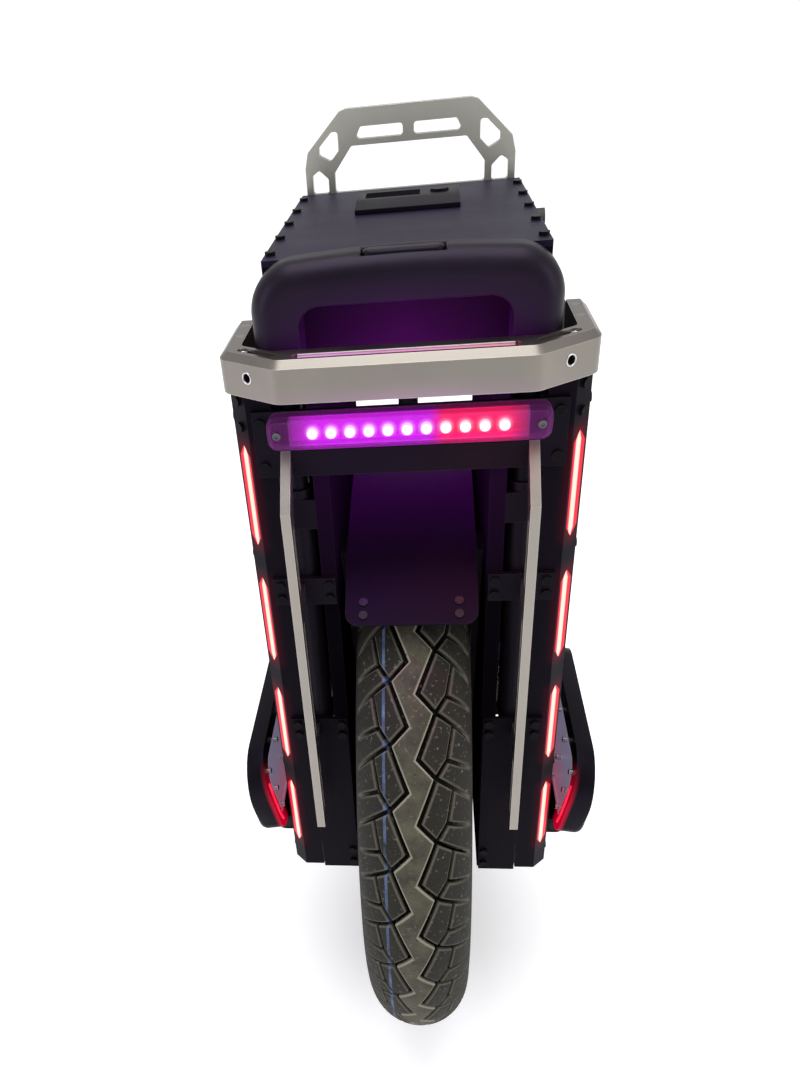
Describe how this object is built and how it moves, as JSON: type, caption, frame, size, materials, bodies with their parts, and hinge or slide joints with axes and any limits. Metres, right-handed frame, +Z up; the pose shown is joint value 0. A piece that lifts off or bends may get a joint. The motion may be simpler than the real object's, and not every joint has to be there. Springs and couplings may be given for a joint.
{
  "type": "electric unicycle",
  "caption": "Self-balancing electric unicycle with a treaded hub-motor wheel between battery cases, fold-up pedals, sliding suspension, lift handle, trolley grip and lit tail.",
  "frame": {"origin": "the point where the tyre stands on the ground, midway between the two sides", "axes": "+Z up, +Y the way it rides (the tail light faces -Y), +X to the rider's right"},
  "size_m": [0.2816, 0.5, 0.739],
  "materials": {
    "tyre": "dusty vulcanised rubber",
    "cast_alloy": "cast and machined",
    "silver_alloy": "satin anodised",
    "black_metal": "matte black coat",
    "zinc_steel": "bright zinc",
    "black_steel": "black oxide",
    "dark_steel": "varnished laminations",
    "copper_wire": "enamelled copper winding",
    "matte_black": "fine matte texture",
    "satin_black": "satin moulded",
    "battery_wrap": "shrink wrap",
    "circuit_board": "solder resist",
    "soft_rubber": "moulded rubber",
    "grey_deck": "light grey grip sheet",
    "dark_window": "smoked window",
    "red_light": "lit light guide",
    "magenta_light": "lit lamp",
    "white_lamp": "unlit reflector lamp",
    "clear_lens": "clear moulded lens"
  },
  "bodies": {
    "chassis": {"battery_packs": "battery_wrap", "bump_stop": "soft_rubber", "charge_socket": "satin_black", "control_board": "circuit_board", "control_box": "matte_black", "display_pod": "satin_black", "display_window": "dark_window", "frame_bolts": "zinc_steel", "frame_plates": "black_metal", "front_guard_bars": "silver_alloy", "headlight_lamps": "white_lamp", "headlight_lens": "clear_lens", "left_battery_case": "matte_black", "left_guard_bar": "silver_alloy", "left_light_strips": "red_light", "lift_handle": "silver_alloy", "light_brackets": "black_metal", "lower_covers": "matte_black", "panel_screws": "black_steel", "pedal_brackets": "black_metal", "pedal_pins": "zinc_steel", "rear_rail": "silver_alloy", "right_battery_case": "matte_black", "right_guard_bar": "silver_alloy", "right_light_strips": "red_light", "shock_bodies": "black_metal", "side_covers": "matte_black", "sleeve_clamps": "black_metal", "tail_light_board": "circuit_board", "tail_light_lamps": "magenta_light", "tail_light_lens": "clear_lens", "tie_plates": "black_metal", "top_plate": "matte_black", "trolley_sleeves": "black_metal"},
    "carrier": {"axle": "zinc_steel", "axle_nuts": "zinc_steel", "stator_core": "dark_steel", "stator_coils": "copper_wire", "slider_blocks": "black_metal", "shock_rods": "zinc_steel", "mudguard": "matte_black", "mudguard_screws": "zinc_steel", "mudguard_stays": "black_metal"},
    "wheel": {"tyre": "tyre", "rim": "cast_alloy", "motor_covers": "cast_alloy", "motor_cover_bolts": "zinc_steel", "magnet_ring": "dark_steel", "wheel_bearings": "zinc_steel"},
    "left_pedal_body": {"left_pedal": "black_metal", "left_pedal_deck": "grey_deck", "left_pedal_studs": "zinc_steel"},
    "right_pedal_body": {"right_pedal": "black_metal", "right_pedal_deck": "grey_deck", "right_pedal_studs": "zinc_steel"},
    "trolley": {"trolley_grip": "satin_black", "trolley_legs": "black_metal"},
    "trolley_button_body": {"trolley_button": "satin_black"},
    "power_button_body": {"power_button": "satin_black"},
    "charge_cap_body": {"charge_cap": "soft_rubber"}
  },
  "joints": [
    {"name": "suspension", "type": "slide", "parent": "chassis", "child": "carrier", "axis": [0, 0, 1], "range_m": [0, 0.07], "stiffness_N_per_m": 12000},
    {"name": "wheel_spin", "type": "hinge", "parent": "carrier", "child": "wheel", "pos_m": [0, 0, 0.25], "axis": [1, 0, 0], "continuous": true},
    {"name": "right_pedal_fold", "type": "hinge", "parent": "chassis", "child": "right_pedal_body", "pos_m": [0.1165, -0.013, 0.2235], "axis": [0, 1, 0], "range_deg": [0, 74]},
    {"name": "left_pedal_fold", "type": "hinge", "parent": "chassis", "child": "left_pedal_body", "pos_m": [-0.1165, -0.013, 0.2235], "axis": [0, -1, 0], "range_deg": [0, 74]},
    {"name": "trolley_slide", "type": "slide", "parent": "chassis", "child": "trolley", "axis": [0, 0, 1], "range_m": [0, 0.276]},
    {"name": "trolley_button_press", "type": "slide", "parent": "trolley", "child": "trolley_button_body", "axis": [0, 0, -1], "range_m": [0, 0.004], "stiffness_N_per_m": 800},
    {"name": "power_press", "type": "slide", "parent": "chassis", "child": "power_button_body", "axis": [0, 0, -1], "range_m": [0, 0.0012], "stiffness_N_per_m": 800},
    {"name": "charge_cap_swing", "type": "hinge", "parent": "chassis", "child": "charge_cap_body", "pos_m": [0.08255, 0.022, 0.672], "axis": [0, 0, -1], "range_deg": [0, 100]}
  ]
}
